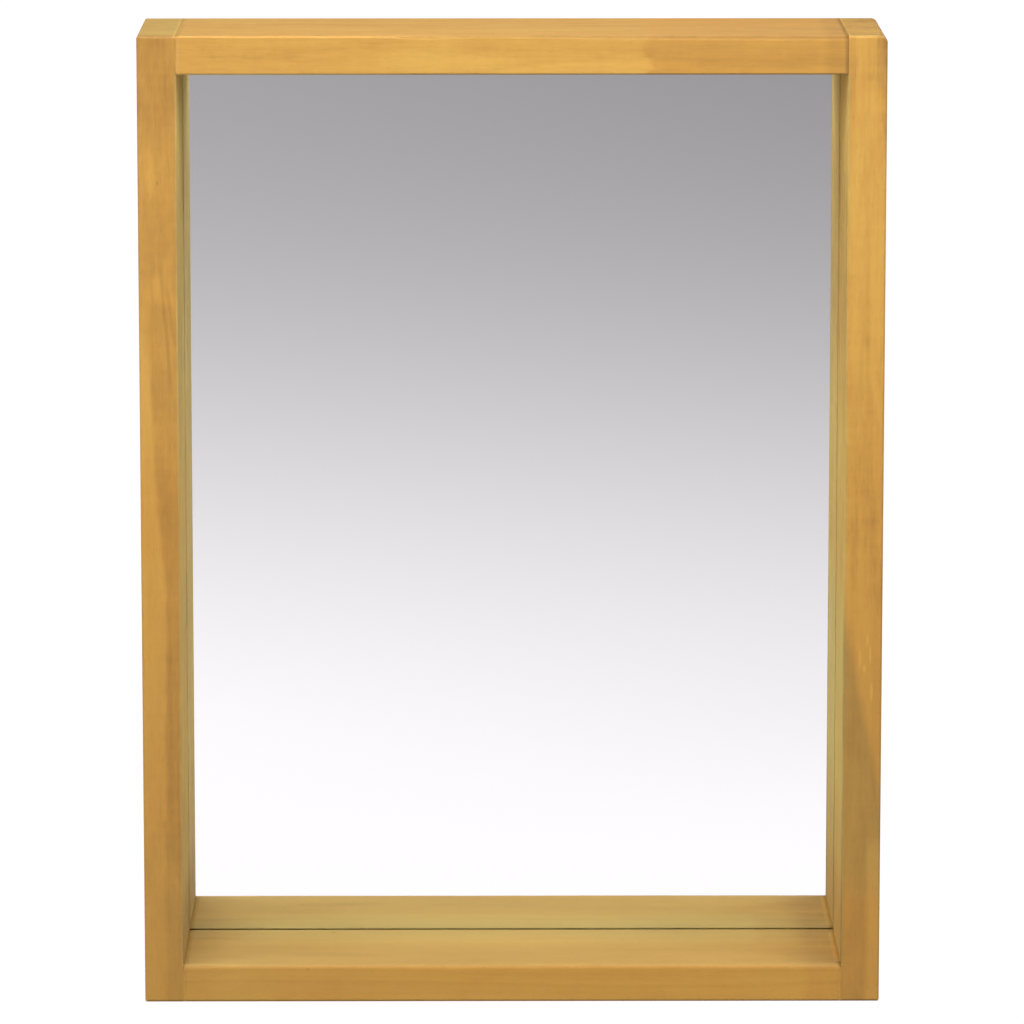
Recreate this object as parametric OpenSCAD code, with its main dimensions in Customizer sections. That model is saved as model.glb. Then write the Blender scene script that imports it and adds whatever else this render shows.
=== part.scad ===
// Wall mirror in a deep open frame of solid boards. The bottom board is a shelf in front of the mirror.
// Millimetres. X runs to the right, Y to the wall, Z up. The origin is under the middle of the frame.

/* [Frame] */
// Overall width of the frame
frame_w = 500; // [420:1:640]
// Overall height of the frame
frame_h = 660; // [540:1:820]
// Depth of the frame from its front edge to the wall
frame_d = 120; // [100:1:160]
// Thickness of the two side boards
side_t = 26; // [24:0.5:32]
// Thickness of the top board and of the shelf board
rail_t = 26; // [22:0.5:32]

/* [Arrises] */
// Radius of the rounded arrises at the front and at the board ends
outer_r = 2; // [1:0.1:4]
// Radius of the top right corner, which is sanded rounder than the others
top_right_r = 5; // [2:0.5:8]
// Radius of the arrises round the front of the opening, apart from the shelf's
inner_r = 1.5; // [0.4:0.1:2]
// Radius of the front arris of the shelf, which is sanded rounder so that it is kind to the hand
shelf_r = 3; // [1:0.1:4]
// Radius of the arrises on the wall side
wall_side_r = 1.5; // [0.5:0.1:2]
// Radius of the arrises where a side board's end meets the next board
joint_r = 0.3; // [0.2:0.1:1]

/* [Rebate] */
// How far the rebate is cut into each board
rebate_w = 6; // [5:0.5:8]
// How far the beads stay in front of the wall side
bead_setback = 1; // [0.5:0.1:6]

/* [Mirror] */
// Thickness of the glass
glass_t = 3; // [3:0.5:6]
// Room for expansion above the glass and at each of its sides
glass_gap = 1; // [0.5:0.1:2]
// Clearance between the glass and the shoulder of the rebate
glass_seat = 0.15; // [0.1:0.05:0.3]
// Thickness of the silvering with its paint
silvering_t = 0.2; // [0.15:0.05:0.4]
// Clearance between the glass and the silvering
silvering_gap = 0.05; // [0.02:0.01:0.1]
// Thickness of the foam tape
tape_t = 1; // [0.8:0.1:2]
// Width of one strip of foam tape
tape_w = 20; // [12:1:30]
// Number of strips of foam tape
tape_count = 4; // [2:1:6]
// How far the strips stay inside the edge of the glass
tape_inset = 32; // [20:1:60]

/* [Back] */
// Thickness of the back panel
panel_t = 4; // [3:0.5:8]
// Room between the back panel and the rebate, all round
panel_gap = 1; // [0.5:0.1:2]
// Width of the beads across the rebate
bead_w = 12; // [9:0.5:16]
// Thickness of the beads towards the wall
bead_t = 8; // [7:0.5:12]
// Radius of the rounded arrises of the beads
bead_r = 1.5; // [0.5:0.1:3]
// Gap at each end of the side beads
bead_end_gap = 0.4; // [0.2:0.1:1]

/* [Dowels] */
// Diameter of the dowels
dowel_d = 8; // [6:0.5:10]
// Length of the dowels
dowel_l = 40; // [32:1:50]
// How far a dowel reaches into the side board
dowel_in_side = 14; // [10:1:18]
// Dowels in each corner
dowel_count = 3; // [2:1:4]
// Distance of the outer dowels from the front edge and from the mirror
dowel_edge = 18; // [14:1:24]
// Chamfer on the ends of the dowels
dowel_chamfer = 1; // [0.5:0.1:1.5]
// Clearance round a dowel, for the glue
dowel_fit = 0.1; // [0.05:0.01:0.2]
// Room for glue beyond each end of a dowel
dowel_end_gap = 0.8; // [0.5:0.1:2]

/* [Screws] */
// Diameter of the screws
screw_d = 3; // [2.5:0.1:3.5]
// Diameter of the countersunk screw heads
head_d = 5.6; // [5:0.1:6.4]
// Length of the pointed end of a screw
screw_tip = 3; // [2:0.5:4]
// Length of the cross slots in the screw heads
slot_l = 3; // [2:0.1:3.6]
// Width of the cross slots in the screw heads
slot_w = 0.7; // [0.5:0.1:0.9]
// Depth of the cross slots in the screw heads
slot_depth = 1; // [0.6:0.1:1.4]
// Clearance round a screw in the piece that it holds
screw_fit = 0.2; // [0.1:0.05:0.3]
// Clearance round a screw in the board that it is driven into
pilot_fit = 0.05; // [0.02:0.01:0.1]
// Room beyond the point of a screw
pilot_end = 0.5; // [0.3:0.1:1]
// Length of the screws in the beads
bead_screw_l = 25; // [20:1:26]
// Distance of the outer screws from the ends of a bead
bead_screw_edge = 45; // [30:1:60]
// Distance between the screws along a bead, as near as whole spaces allow
bead_screw_pitch = 175; // [120:5:260]
// Length of the screws in the hanger plates
plate_screw_l = 16; // [12:1:25]

/* [Hangers] */
// Distance of the hanging screw below the top of the frame
hanger_drop = 130; // [110:1:160]
// Width of the hanger plates
plate_w = 14; // [13:0.5:15]
// Thickness of the hanger plates
plate_t = 2; // [1.5:0.1:3]
// Distance between the two screws of a hanger plate
plate_pitch = 40; // [38:1:60]
// How far a hanger plate lies below the rear edge of its board
plate_sink = 0.2; // [0:0.1:0.5]
// Clearance round a hanger plate in its recess
plate_fit = 0.2; // [0.1:0.05:0.4]
// Diameter of the entry hole for the head of the hanging screw
entry_d = 9; // [8:0.1:9.5]
// Width of the slot for the shank of the hanging screw
slot_d = 4.6; // [4:0.1:5.5]
// Rise from the entry hole to the seat of the hanging screw
slot_rise = 9; // [8:0.5:10]
// Depth of the pocket for the screw head behind the plate
pocket_depth = 8; // [6:0.5:12]
// Room round the screw head in the pocket
pocket_room = 0.5; // [0.3:0.1:0.8]

/* [Hidden] */
$fn = 48;
// Cutters reach this far past the faces that they cut
past = 1;
rail_l = frame_w - 2 * side_t;
front_y = -frame_d / 2;
wall_y = frame_d / 2;
// Stack in the rebate, from the beads forward to the shoulder that the glass bears on
bead_y = wall_y - bead_setback - bead_t;
panel_y = bead_y - panel_t;
tape_y = panel_y - tape_t;
silvering_y = tape_y - silvering_t;
glass_y = silvering_y - silvering_gap - glass_t;
shoulder_y = glass_y - glass_seat;
// Walls of the rebate
rebate_x = rail_l / 2 + rebate_w;
rebate_low = rail_t - rebate_w;
rebate_high = frame_h - rail_t + rebate_w;
glass_w = 2 * (rebate_x - glass_gap);
glass_h = rebate_high - rebate_low - glass_gap;
panel_w = 2 * (rebate_x - panel_gap);
panel_h = rebate_high - rebate_low - 2 * panel_gap;
side_bead_low = rebate_low + bead_w + bead_end_gap;
side_bead_l = rebate_high - rebate_low - 2 * (bead_w + bead_end_gap);
bead_mid_y = bead_y + bead_t / 2;
dowel_step = (shoulder_y - front_y - 2 * dowel_edge) / (dowel_count - 1);
screw_r = screw_d / 2;
head_h = head_d / 2 - screw_r;
// The hanger plates lie in the middle of what the rebate leaves of the side boards' rear edges
hanger_x = frame_w / 2 - (side_t - rebate_w) / 2;
seat_z = frame_h - hanger_drop;
plate_z = seat_z - slot_rise / 2;
plate_y = wall_y - plate_sink - plate_t;

TEAK = [0.85, 0.65, 0.33];
GLASS = [0.80, 0.86, 0.84, 0.5];
SILVER = [0.78, 0.79, 0.80];
FOAM = [0.95, 0.95, 0.93];
PLYWOOD = [0.83, 0.71, 0.52];
BEECH = [0.87, 0.72, 0.54];
STEEL = [0.72, 0.72, 0.70];

// What a rounding takes away at a square corner whose point is the origin
module corner_waste(r)
{
    if (r > 0)
    {
        difference()
        {
            translate([-past, -past])
                square(r + past);
            translate([r, r])
                circle(r);
        }
    }
}

// A rectangle from the origin with a radius for each corner: low left, low right, high right, high left
module rounded_rect(w, h, r)
{
    difference()
    {
        square([w, h]);
        corner_waste(r[0]);
        translate([w, 0])
            mirror([1, 0])
            corner_waste(r[1]);
        translate([w, h])
            rotate(180)
            corner_waste(r[2]);
        translate([0, h])
            mirror([0, 1])
            corner_waste(r[3]);
    }
}

// A profile in X and Z carried along Y from y0 for length l
module along_y(y0, l)
{
    translate([0, y0 + l, 0])
        rotate([90, 0, 0])
        linear_extrude(l)
        children();
}

// A profile in Y and Z carried along X from x0 for length l
module along_x(x0, l)
{
    translate([x0, 0, 0])
        rotate([90, 0, 90])
        linear_extrude(l)
        children();
}

// A slot shape in X and Z: a width, and the distance between the centres of its round ends
module slot_shape(w, l)
{
    for (end = [-1, 1])
    {
        translate([0, end * l / 2])
            circle(w / 2);
    }
    square([w, l], center = true);
}

// A countersunk screw that points down, with the top of its head at the origin
module screw(l)
{
    difference()
    {
        union()
        {
            translate([0, 0, -head_h])
                cylinder(h = head_h, r1 = screw_r, r2 = head_d / 2);
            translate([0, 0, screw_tip - l])
                cylinder(h = l - screw_tip - head_h, r = screw_r);
            translate([0, 0, -l])
                cylinder(h = screw_tip, r1 = 0, r2 = screw_r);
        }
        for (turn = [0, 90])
        {
            rotate(turn)
                translate([-slot_l / 2, -slot_w / 2, -slot_depth])
                cube([slot_l, slot_w, slot_depth + past]);
        }
    }
}

// The countersunk hole for a screw through a held piece of thickness t
module screw_hole(t)
{
    translate([0, 0, -head_h])
        cylinder(h = head_h + past, r1 = screw_r + screw_fit, r2 = head_d / 2 + screw_fit + past);
    translate([0, 0, -t - past])
        cylinder(h = t + past, r = screw_r + screw_fit);
}

// The pilot hole of a screw in the board behind a held piece of thickness t
module pilot_hole(t, l)
{
    translate([0, 0, -l - pilot_end])
        cylinder(h = l + pilot_end - t + past, r = screw_r + pilot_fit);
}

// Places the children at the screws of one bead, pointing out into the board
module at_bead_screws(side)
{
    upright = side == "left" || side == "right";
    run = (upright ? side_bead_l : 2 * rebate_x) - 2 * bead_screw_edge;
    spaces = max(1, round(run / bead_screw_pitch));
    for (i = [0 : spaces])
    {
        along = run * (i / spaces - 0.5);
        if (side == "bottom")
        {
            translate([along, bead_mid_y, rebate_low + bead_w])
                children();
        }
        if (side == "top")
        {
            translate([along, bead_mid_y, rebate_high - bead_w])
                rotate([180, 0, 0])
                children();
        }
        if (side == "left")
        {
            translate([bead_w - rebate_x, bead_mid_y, frame_h / 2 + along])
                rotate([0, 90, 0])
                children();
        }
        if (side == "right")
        {
            translate([rebate_x - bead_w, bead_mid_y, frame_h / 2 + along])
                rotate([0, -90, 0])
                children();
        }
    }
}

// Places the children at one corner's dowels, on the joint and pointing along the top or shelf board
module at_dowels(x_side, z_side)
{
    for (i = [0 : dowel_count - 1])
    {
        translate([x_side * rail_l / 2, front_y + dowel_edge + i * dowel_step,
            z_side > 0 ? frame_h - rail_t / 2 : rail_t / 2])
            rotate([0, x_side * -90, 0])
            children();
    }
}

// The hole for one dowel, through the joint into both boards
module dowel_hole()
{
    translate([0, 0, -dowel_in_side - dowel_end_gap])
        cylinder(h = dowel_l + 2 * dowel_end_gap, r = dowel_d / 2 + dowel_fit);
}

// One dowel with chamfered ends
module dowel()
{
    translate([0, 0, -dowel_in_side])
    {
        cylinder(h = dowel_chamfer, r1 = dowel_d / 2 - dowel_chamfer, r2 = dowel_d / 2);
        translate([0, 0, dowel_chamfer])
            cylinder(h = dowel_l - 2 * dowel_chamfer, r = dowel_d / 2);
        translate([0, 0, dowel_l - dowel_chamfer])
            cylinder(h = dowel_chamfer, r1 = dowel_d / 2, r2 = dowel_d / 2 - dowel_chamfer);
    }
}

// Places the children at the two screws of a hanger plate on the left, pointing away from the wall
module at_plate_screws()
{
    for (end = [-1, 1])
    {
        translate([-hanger_x, wall_y - plate_sink, plate_z + end * plate_pitch / 2])
            rotate([-90, 0, 0])
            children();
    }
}

// The keyhole in X and Z: a round entry and a narrow slot that rises to the seat
module keyhole_shape()
{
    translate([-hanger_x, seat_z - slot_rise])
        circle(entry_d / 2);
    translate([-hanger_x, plate_z])
        slot_shape(slot_d, slot_rise);
}

// What the hanger takes out of the left side board: the plate's recess, the head's pocket, two pilot holes
module hanger_waste()
{
    along_y(plate_y, plate_t + plate_sink + past)
        translate([-hanger_x, plate_z])
        slot_shape(plate_w + 2 * plate_fit, plate_pitch);
    along_y(plate_y - pocket_depth, pocket_depth + past)
        translate([-hanger_x, plate_z])
        slot_shape(entry_d + 2 * pocket_room, slot_rise);
    at_plate_screws()
        pilot_hole(plate_t, plate_screw_l);
}

// What the rounded arris beside the opening takes out of the left side board: it stops at the top board and
// at the shelf, so that the fronts are flush at the joints
module opening_arris_waste()
{
    translate([-rail_l / 2, front_y, rail_t])
        linear_extrude(frame_h - 2 * rail_t)
        mirror([1, 0])
        corner_waste(inner_r);
}

// The left side board with the radius of its top outer corner: rounded in all three views, with the
// stopped rebate, dowel holes and hanger
module side_board(top_r)
{
    difference()
    {
        intersection()
        {
            linear_extrude(frame_h)
                translate([-frame_w / 2, front_y])
                rounded_rect(side_t, frame_d, [outer_r, joint_r, joint_r, wall_side_r]);
            along_y(front_y, frame_d)
                translate([-frame_w / 2, 0])
                rounded_rect(side_t, frame_h, [outer_r, joint_r, joint_r, top_r]);
            along_x(-frame_w / 2, side_t)
                translate([front_y, 0])
                rounded_rect(frame_d, frame_h, [outer_r, wall_side_r, wall_side_r, outer_r]);
        }
        opening_arris_waste();
        translate([-rebate_x, shoulder_y, rebate_low])
            cube([rebate_w + past, wall_y - shoulder_y + past, rebate_high - rebate_low]);
        for (z_side = [-1, 1])
        {
            at_dowels(-1, z_side)
                dowel_hole();
        }
        at_bead_screws("left")
            pilot_hole(bead_w, bead_screw_l);
        hanger_waste();
    }
}

// The top board or the shelf board: its profile between the side boards, with a rebate right through
module rail_board(z0, radii, rebate_z, z_side, bead)
{
    difference()
    {
        along_x(-rail_l / 2, rail_l)
            translate([front_y, z0])
            rounded_rect(frame_d, rail_t, radii);
        translate([-rail_l / 2 - past, shoulder_y, rebate_z])
            cube([rail_l + 2 * past, wall_y - shoulder_y + past, rebate_w + past]);
        for (x_side = [-1, 1])
        {
            at_dowels(x_side, z_side)
                dowel_hole();
        }
        at_bead_screws(bead)
            pilot_hole(bead_w, bead_screw_l);
    }
}

module side_board_left()
{
    color(TEAK)
        side_board(outer_r);
}

module side_board_right()
{
    color(TEAK)
        mirror([1, 0, 0])
        side_board(top_right_r);
}

module top_board()
{
    color(TEAK)
        rail_board(frame_h - rail_t, [inner_r, 0, wall_side_r, outer_r],
            rebate_high - rebate_w - past, 1, "top");
}

module shelf_board()
{
    color(TEAK)
        rail_board(0, [outer_r, wall_side_r, 0, shelf_r], rebate_low, -1, "bottom");
}

// A pane from y0, with a width, a thickness and a height, standing at z0
module pane(w, t, h, y0, z0)
{
    translate([-w / 2, y0, z0])
        cube([w, t, h]);
}

module mirror_glass()
{
    color(GLASS)
        pane(glass_w, glass_t, glass_h, glass_y, rebate_low);
}

module mirror_silvering()
{
    color(SILVER)
        pane(glass_w, silvering_t, glass_h, silvering_y, rebate_low);
}

// Upright strips, spread evenly between the outer two
module mirror_tape()
{
    outer_x = glass_w / 2 - tape_inset - tape_w / 2;
    color(FOAM)
        for (i = [0 : tape_count - 1])
        {
            translate([outer_x * (2 * i / (tape_count - 1) - 1), 0, 0])
                pane(tape_w, tape_t, glass_h - 2 * tape_inset, tape_y, rebate_low + tape_inset);
        }
}

module back_panel()
{
    color(PLYWOOD)
        pane(panel_w, panel_t, panel_h, panel_y, rebate_low + panel_gap);
}

// A bead that lies on the rebate's floor or roof, its rounded arrises on the wall side and inside
module bead_across(z0, radii, side)
{
    color(TEAK)
        difference()
        {
            along_x(-rebate_x, 2 * rebate_x)
                translate([bead_y, z0])
                rounded_rect(bead_t, bead_w, radii);
            at_bead_screws(side)
                screw_hole(bead_w);
        }
}

// The left bead, between the top and the bottom bead
module bead_upright()
{
    color(TEAK)
        difference()
        {
            translate([-rebate_x, bead_y, side_bead_low])
                linear_extrude(side_bead_l)
                rounded_rect(bead_w, bead_t, [0, 0, bead_r, 0]);
            at_bead_screws("left")
                screw_hole(bead_w);
        }
}

module bead_top()
{
    bead_across(rebate_high - bead_w, [0, bead_r, 0, 0], "top");
}

module bead_bottom()
{
    bead_across(rebate_low, [0, 0, bead_r, 0], "bottom");
}

module bead_left()
{
    bead_upright();
}

module bead_right()
{
    mirror([1, 0, 0])
        bead_upright();
}

module bead_screws()
{
    color(STEEL)
        for (side = ["top", "bottom", "left", "right"])
        {
            at_bead_screws(side)
                screw(bead_screw_l);
        }
}

module corner_dowels(x_side, z_side)
{
    color(BEECH)
        at_dowels(x_side, z_side)
        dowel();
}

module dowels_top_left()
{
    corner_dowels(-1, 1);
}

module dowels_top_right()
{
    corner_dowels(1, 1);
}

module dowels_bottom_left()
{
    corner_dowels(-1, -1);
}

module dowels_bottom_right()
{
    corner_dowels(1, -1);
}

// The left hanger plate with round ends, its keyhole and two countersunk holes
module hanger_plate_left()
{
    color(STEEL)
        difference()
        {
            along_y(plate_y, plate_t)
                difference()
                {
                    translate([-hanger_x, plate_z])
                        slot_shape(plate_w, plate_pitch);
                    keyhole_shape();
                }
            at_plate_screws()
                screw_hole(plate_t);
        }
}

module hanger_plate_right()
{
    mirror([1, 0, 0])
        hanger_plate_left();
}

module hanger_screws_left()
{
    color(STEEL)
        at_plate_screws()
        screw(plate_screw_l);
}

module hanger_screws_right()
{
    mirror([1, 0, 0])
        hanger_screws_left();
}

side_board_left();
side_board_right();
top_board();
shelf_board();
mirror_glass();
mirror_silvering();
mirror_tape();
back_panel();
bead_top();
bead_bottom();
bead_left();
bead_right();
bead_screws();
dowels_top_left();
dowels_top_right();
dowels_bottom_left();
dowels_bottom_right();
hanger_plate_left();
hanger_plate_right();
hanger_screws_left();
hanger_screws_right();
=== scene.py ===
"""Finishes for a wall mirror in a deep open frame of oiled teak, and the studio that it stands in.

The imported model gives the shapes. Every operator below finishes one group of pieces or builds the studio."""

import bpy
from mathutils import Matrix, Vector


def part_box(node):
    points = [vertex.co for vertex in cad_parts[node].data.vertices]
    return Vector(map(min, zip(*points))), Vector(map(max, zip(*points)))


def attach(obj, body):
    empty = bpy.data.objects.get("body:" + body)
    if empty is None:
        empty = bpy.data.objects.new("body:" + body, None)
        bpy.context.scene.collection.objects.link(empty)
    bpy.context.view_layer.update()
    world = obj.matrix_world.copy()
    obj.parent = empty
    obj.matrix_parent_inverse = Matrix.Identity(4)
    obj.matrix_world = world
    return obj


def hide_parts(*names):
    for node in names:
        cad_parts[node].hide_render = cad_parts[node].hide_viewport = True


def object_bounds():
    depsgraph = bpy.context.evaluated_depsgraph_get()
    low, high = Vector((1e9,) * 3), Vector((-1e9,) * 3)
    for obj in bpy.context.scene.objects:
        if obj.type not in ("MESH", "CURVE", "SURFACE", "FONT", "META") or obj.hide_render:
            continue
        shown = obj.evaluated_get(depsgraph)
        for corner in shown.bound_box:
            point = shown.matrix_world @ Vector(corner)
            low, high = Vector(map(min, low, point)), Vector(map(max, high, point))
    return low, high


bl_info = {
    "name": "Wall Mirror Finishes",
    "version": (1, 0, 0),
    "blender": (4, 5, 0),
    "location": "3D View > Sidebar > Wall Mirror",
    "description": "Finishes a wall mirror with a shelf and sets it in a plain studio",
    "category": "Material",
}

import functools
import math

import bpy
import numpy as np
from bpy.props import FloatProperty, FloatVectorProperty, PointerProperty
from mathutils import Vector

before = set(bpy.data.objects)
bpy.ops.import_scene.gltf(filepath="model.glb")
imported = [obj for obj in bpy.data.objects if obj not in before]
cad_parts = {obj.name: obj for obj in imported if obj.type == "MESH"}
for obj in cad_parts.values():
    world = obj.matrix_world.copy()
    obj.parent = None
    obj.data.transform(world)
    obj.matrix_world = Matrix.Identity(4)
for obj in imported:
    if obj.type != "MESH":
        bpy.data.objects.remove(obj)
CAD_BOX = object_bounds()

BODY = "root"
MM = 1000.0  # millimetres in a metre: shapes and patterns are worked out in millimetres

# Edges of the frame and of its opening, in millimetres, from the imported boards
FRONT = CAD_BOX[0].y * MM
WALL = CAD_BOX[1].y * MM
TOP = CAD_BOX[1].z * MM
OPENING_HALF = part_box("side_board_right")[0].x * MM
OPENING_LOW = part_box("shelf_board")[1].z * MM
OPENING_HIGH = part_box("top_board")[0].z * MM
OPENING_MIDDLE = (OPENING_LOW + OPENING_HIGH) / 2
OPENING_REACH = (OPENING_HIGH - OPENING_LOW) / 2

# The rebate: its shoulder lies just in front of the glass, and the beads lie on its floor and under its roof
GLASS_SEAT = 0.15
REBATE_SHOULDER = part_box("mirror_glass")[0].y * MM - GLASS_SEAT
REBATE_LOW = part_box("bead_bottom")[0].z * MM
REBATE_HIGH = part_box("bead_top")[1].z * MM

# Grain directions: the turn that lays a board's length along the pattern's Z
GRAIN_UP = (0.0, 0.0, 0.0)
GRAIN_ACROSS = (0.0, math.radians(-90.0), 0.0)

SMOOTH = {"interpolation_type": "SMOOTHSTEP"}
BLACK, WHITE = (0.0, 0.0, 0.0, 1.0), (1.0, 1.0, 1.0, 1.0)
GRAIN_DEPTH, CELL_DEPTH, LINE_DEPTH = 0.0001, 0.0002, 0.00005  # metres: relief of wood, foam and rolled steel


def linear(hex_colour):
    """An sRGB hex colour such as "D9A55C" as the linear colour that a shader takes."""
    channels = [int(hex_colour[i : i + 2], 16) / 255 for i in (0, 2, 4)]
    return [c / 12.92 if c <= 0.04045 else ((c + 0.055) / 1.055) ** 2.4 for c in channels] + [1.0]


def add(tree, kind, inputs=None, out=0, ramp=None, **settings):
    """Adds one node to a node tree and returns one of its outputs, or None where it has none.

    kind is the node's type without the word ShaderNode, inputs maps a socket's name or number to a value or
    to the socket that feeds it, ramp lists the stops of a colour ramp as (position, colour), and settings
    are the node's own properties."""
    node = tree.nodes.new("ShaderNode" + kind)
    for name, value in settings.items():
        setattr(node, name, value)
    for key, value in (inputs or {}).items():
        if isinstance(value, bpy.types.NodeSocket):
            tree.links.new(value, node.inputs[key])
        else:
            node.inputs[key].default_value = value
    if ramp:
        stops = node.color_ramp.elements
        while len(stops) < len(ramp):
            stops.new(1.0)
        for stop, (position, colour) in zip(stops, ramp):
            stop.position = position
            stop.color = colour
    return node.outputs[out] if len(node.outputs) else None


def new_material(name):
    """A material without nodes, and the function that adds nodes to it."""
    material = bpy.data.materials.new(name)
    material.use_nodes = True
    material.node_tree.nodes.clear()
    return material, functools.partial(add, material.node_tree)


def dress(node, material):
    """Puts one material on a CAD node's object, in place of the one that it came with."""
    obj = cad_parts[node]
    obj.data.materials.clear()
    obj.data.materials.append(material)


def in_millimetres(node):
    """Where a point of the piece lies, in millimetres."""
    return node("VectorMath", {0: node("TexCoord", out="Object"), "Scale": MM}, operation="SCALE")


def counted(node, place, sizes):
    """A place counted in the sizes of a pattern's blotches along X, Y and Z."""
    return node("VectorMath", {0: place, 1: [1 / size for size in sizes]}, operation="MULTIPLY")


RIGHT, DEEP, UP = (1.0, 0.0, 0.0), (0.0, 1.0, 0.0), (0.0, 0.0, 1.0)  # to the right, to the wall and up


def share_along(node, place, direction, begin, end, waver=0.0, mottle=None):
    """How much of the way from begin to end a place has come along a direction, from 0 to 1.

    All are in millimetres, and waver is about how far the mottle, a noise round 0.5, makes a border stray."""
    along = node("VectorMath", {0: place, 1: direction}, out="Value", operation="DOT_PRODUCT")
    if waver:
        # The mottle leaves 0.5 by about a quarter, so four times the waver moves the border by the waver
        along = node("Math", {0: mottle, 1: 4 * waver, 2: along}, operation="MULTIPLY_ADD")
        begin, end = begin + 2 * waver, end + 2 * waver
    return node("MapRange", {"Value": along, 1: begin, 2: end}, **SMOOTH)


def shifting(node, place, start, *shifts):
    """A value that shifts from place to place: each shift is (shift, direction, from, to)."""
    value = start
    for shift, *way in shifts:
        share = share_along(node, place, *way)
        value = node("Math", {0: share, 1: shift, 2: value}, operation="MULTIPLY_ADD")
    return value


COLOUR = {"subtype": "COLOR", "size": 4, "min": 0, "max": 1}  # what every colour setting shares
TINT = {"size": 3, "min": 0, "max": 3}  # and what every tint does


class TeakSettings(bpy.types.PropertyGroup):
    """Colours and sizes of the oiled teak"""

    pale: FloatVectorProperty(
        name="Pale Wood", description="Colour of the lightest wood, at tone 0", default=linear("EAB65A"),
        **COLOUR,
    )
    golden: FloatVectorProperty(
        name="Golden Wood", description="Main colour of the boards, at tone 0.4", default=linear("DDA651"),
        **COLOUR,
    )
    brown: FloatVectorProperty(
        name="Brown Wood", description="Colour of the browner wood, at tone 0.7", default=linear("C8954A"),
        **COLOUR,
    )
    dark: FloatVectorProperty(
        name="Dark Wood", description="Colour of dark streaks and pin knots, at tone 1",
        default=linear("AA7A3C"), **COLOUR,
    )
    pore: FloatVectorProperty(
        name="Pore", description="Colour of the open pores", default=linear("6B4420"), **COLOUR,
    )
    # The wall tint is painted light and sheen: it lifts and pales the walls of the opening
    walls: FloatVectorProperty(
        name="Wall Tint", description="What the side walls of the opening multiply the wood's colour by",
        default=(1.14, 1.5, 2.1), **TINT,
    )
    # The shelf tint is painted sheen: it turns the top of the shelf greyer and paler
    shelf: FloatVectorProperty(
        name="Shelf Tint", description="What the top of the shelf multiplies the wood's colour by",
        default=(0.95, 1.13, 1.57), **TINT,
    )
    end: FloatVectorProperty(
        name="End Tint", description="What sawn ends multiply the wood's colour by",
        default=(0.92, 1.03, 1.08), **TINT,
    )
    ring_mm: FloatProperty(
        name="Ring Width", description="Distance between growth rings, in millimetres", default=6.5, min=1,
        max=20,
    )
    fibre_mm: FloatProperty(
        name="Fibre Width", description="Width of the finest streaks, in millimetres", default=0.9, min=0.2,
        max=4,
    )
    pore_mm: FloatProperty(
        name="Pore Length", description="Length of the open pores, in millimetres", default=9.0, min=1,
        max=40,
    )
    roughness: FloatProperty(
        name="Roughness", description="Roughness of the satin oil", subtype="FACTOR", default=0.5, min=0,
        max=1,
    )


class ArrisSettings(bpy.types.PropertyGroup):
    """How the arrises of the top board and of the shelf were sanded, in millimetres"""

    top_left: FloatProperty(
        name="Top Arris, Left", description="Radius of the top board's front arris at its left end",
        default=1.7, min=0.5, max=4,
    )
    top_right: FloatProperty(
        name="Top Arris, Right", description="Radius of the top board's front arris at its right end",
        default=3.8, min=0.5, max=6,
    )
    shelf: FloatProperty(
        name="Shelf Arris", description="Radius of the shelf's front arris", default=3.2, min=0.5, max=6,
    )
    waver: FloatProperty(
        name="Waver", description="How far the hand let those radii waver", default=0.25, min=0, max=0.6,
    )


class GlassSettings(bpy.types.PropertyGroup):
    """Colours of the mirror"""

    tint: FloatVectorProperty(
        name="Glass Tint", description="Colour that float glass gives to light on its way through",
        default=(0.99, 0.995, 0.992, 1.0), **COLOUR,
    )
    silver: FloatVectorProperty(
        name="Silver", description="Colour of the silver seen through the glass", default=linear("FAFEFE"),
        **COLOUR,
    )
    paint: FloatVectorProperty(
        name="Back Paint", description="Colour of the paint that protects the silver",
        default=linear("6F7B80"), **COLOUR,
    )
    ior: FloatProperty(
        name="Glass IOR", description="Refractive index of the glass", default=1.52, min=1, max=2,
    )


class BackSettings(bpy.types.PropertyGroup):
    """Colours of the hidden woods, of the foam tape and of the plated steel"""

    veneer: FloatVectorProperty(
        name="Veneer", description="Colour of the back panel's early wood", default=linear("DCC193"),
        **COLOUR,
    )
    veneer_late: FloatVectorProperty(
        name="Veneer, Late Wood", description="Colour of the back panel's late wood",
        default=linear("B99660"), **COLOUR,
    )
    beech: FloatVectorProperty(
        name="Beech", description="Colour of the dowels", default=linear("DDB78B"), **COLOUR,
    )
    beech_fleck: FloatVectorProperty(
        name="Beech Fleck", description="Colour of the flecks in the dowels", default=linear("A9774A"),
        **COLOUR,
    )
    foam: FloatVectorProperty(
        name="Foam", description="Colour of the foam tape", default=linear("E6E4DC"), **COLOUR,
    )
    foam_cell: FloatVectorProperty(
        name="Foam Cell", description="Colour between the cells of the foam tape", default=linear("C9C7BE"),
        **COLOUR,
    )
    zinc: FloatVectorProperty(
        name="Zinc", description="Colour of the zinc plate on plates and screws", default=linear("C9CBCC"),
        **COLOUR,
    )


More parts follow.
